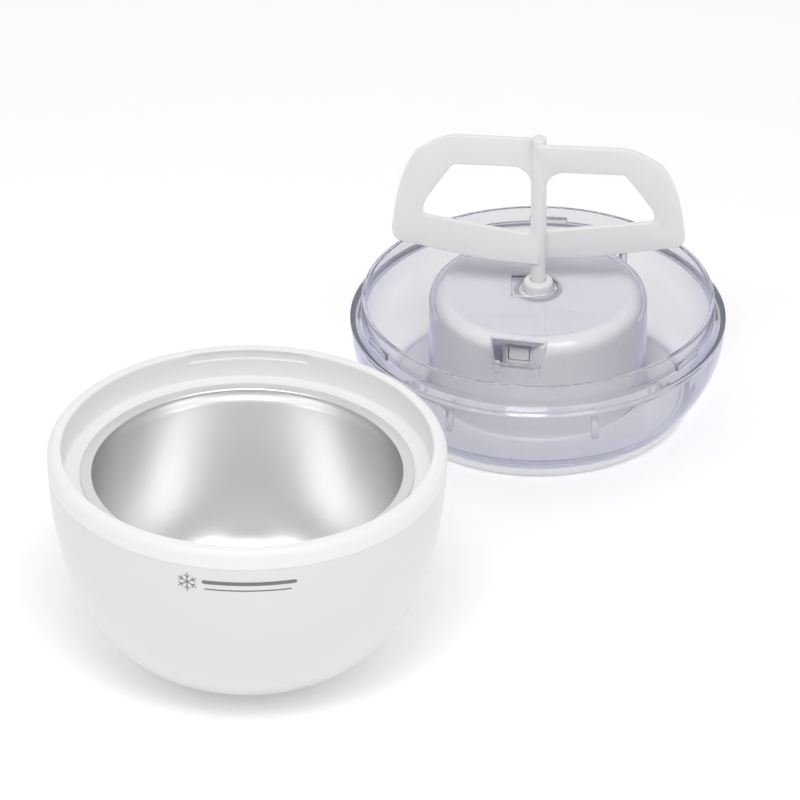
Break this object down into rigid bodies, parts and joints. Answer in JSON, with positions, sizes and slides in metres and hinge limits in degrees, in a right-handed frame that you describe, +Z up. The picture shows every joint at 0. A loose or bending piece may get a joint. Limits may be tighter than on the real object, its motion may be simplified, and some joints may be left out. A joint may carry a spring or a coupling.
{
  "type": "ice cream maker",
  "caption": "Ice cream maker shown open: white freezer bowl with metal liner, and beside it a clear lid upside down on its white motor cap with a milky mixing paddle standing up.",
  "frame": {"origin": "centre of the freezer bowl's flat foot", "axes": "+Z up along the bowl's axis, +X from the bowl towards the lid"},
  "size_m": [0.4765, 0.2, 0.1582],
  "materials": {
    "white_shell": "gloss",
    "milky_rim": "satin",
    "liner_metal": "satin",
    "clear_plastic": "gloss",
    "white_motor": "gloss",
    "milky_paddle": "satin",
    "grey_rubber": "matte",
    "cooling_gel": "gloss",
    "steel": "satin",
    "brass": "satin",
    "copper_wire": "satin",
    "ferrite": "matte",
    "gear_plastic": "satin",
    "wire_insulation": "satin"
  },
  "bodies": {
    "freezer_bowl": {"outer_shell": "white_shell", "rim_ring": "milky_rim", "liner": "liner_metal", "liner_gasket": "grey_rubber", "coolant_fill": "cooling_gel", "fill_plug": "grey_rubber"},
    "motor_unit": {"motor_cap": "white_motor", "motor_housing": "white_motor", "stator_can": "steel", "stator_bobbin": "gear_plastic", "stator_coil": "copper_wire", "rotor_bush": "brass", "gear_plate": "steel", "idler_pin": "steel", "output_bush": "brass", "plate_screw_1": "steel", "plate_screw_2": "steel", "plate_screw_3": "steel", "latch_pin_front": "steel", "latch_pin_back": "steel", "switch_body": "ferrite", "cord_gland": "grey_rubber", "lead_live": "wire_insulation", "lead_neutral": "wire_insulation", "lead_switched": "wire_insulation"},
    "lid": {"clear_lid": "clear_plastic", "hub_seal": "grey_rubber"},
    "hub": {"drive_hub": "milky_paddle"},
    "mixing_paddle": {"paddle": "milky_paddle"},
    "output_drive": {"output_gear": "gear_plastic", "output_shaft": "steel"},
    "idler": {"idler_gear": "gear_plastic"},
    "rotor": {"rotor_magnet": "ferrite", "rotor_shaft": "steel"},
    "front_latch": {"latch_front": "white_motor"},
    "back_latch": {"latch_back": "white_motor"},
    "switch_button": {"power_button": "grey_rubber"}
  },
  "joints": [
    {"name": "lid_turn_over", "type": "hinge", "parent": "freezer_bowl", "child": "motor_unit", "pos_m": [0.1395, 0, 0.085], "axis": [0, -1, 0], "range_deg": [0, 180]},
    {"name": "lid_release", "type": "slide", "parent": "motor_unit", "child": "lid", "axis": [0, 0, -1], "range_m": [-0.09, 0]},
    {"name": "drive_spin", "type": "hinge", "parent": "lid", "child": "hub", "pos_m": [0.279, 0, 0.052], "axis": [0, 0, -1], "continuous": true},
    {"name": "paddle_pull", "type": "slide", "parent": "hub", "child": "mixing_paddle", "axis": [0, 0, -1], "range_m": [-0.09, 0]},
    {"name": "output_spin", "type": "hinge", "parent": "motor_unit", "child": "output_drive", "pos_m": [0.279, 0, 0.052], "axis": [0, 0, -1], "continuous": true},
    {"name": "idler_spin", "type": "hinge", "parent": "motor_unit", "child": "idler", "pos_m": [0.26019, -0.00933, 0.052], "axis": [0, 0, -1], "continuous": true},
    {"name": "rotor_spin", "type": "hinge", "parent": "motor_unit", "child": "rotor", "pos_m": [0.279, -0.012, 0.052], "axis": [0, 0, -1], "continuous": true},
    {"name": "power_press", "type": "slide", "parent": "motor_unit", "child": "switch_button", "axis": [0, 0, 1], "range_m": [0, 0.0015], "stiffness_N_per_m": 600},
    {"name": "front_latch_tilt", "type": "hinge", "parent": "motor_unit", "child": "front_latch", "pos_m": [0.23457, -0.01679, 0.031], "axis": [-0.3535, 0.9354, 0], "range_deg": [0, 6], "stiffness_Nm_per_rad": 0.5},
    {"name": "back_latch_tilt", "type": "hinge", "parent": "motor_unit", "child": "back_latch", "pos_m": [0.31928, 0.02517, 0.031], "axis": [0.5299, -0.848, 0], "range_deg": [0, 6], "stiffness_Nm_per_rad": 0.5}
  ],
  "couplings": [
    {"joint": "output_spin", "follows": "drive_spin", "ratio": 1},
    {"joint": "idler_spin", "follows": "drive_spin", "ratio": -2.5},
    {"joint": "rotor_spin", "follows": "drive_spin", "ratio": 7}
  ]
}
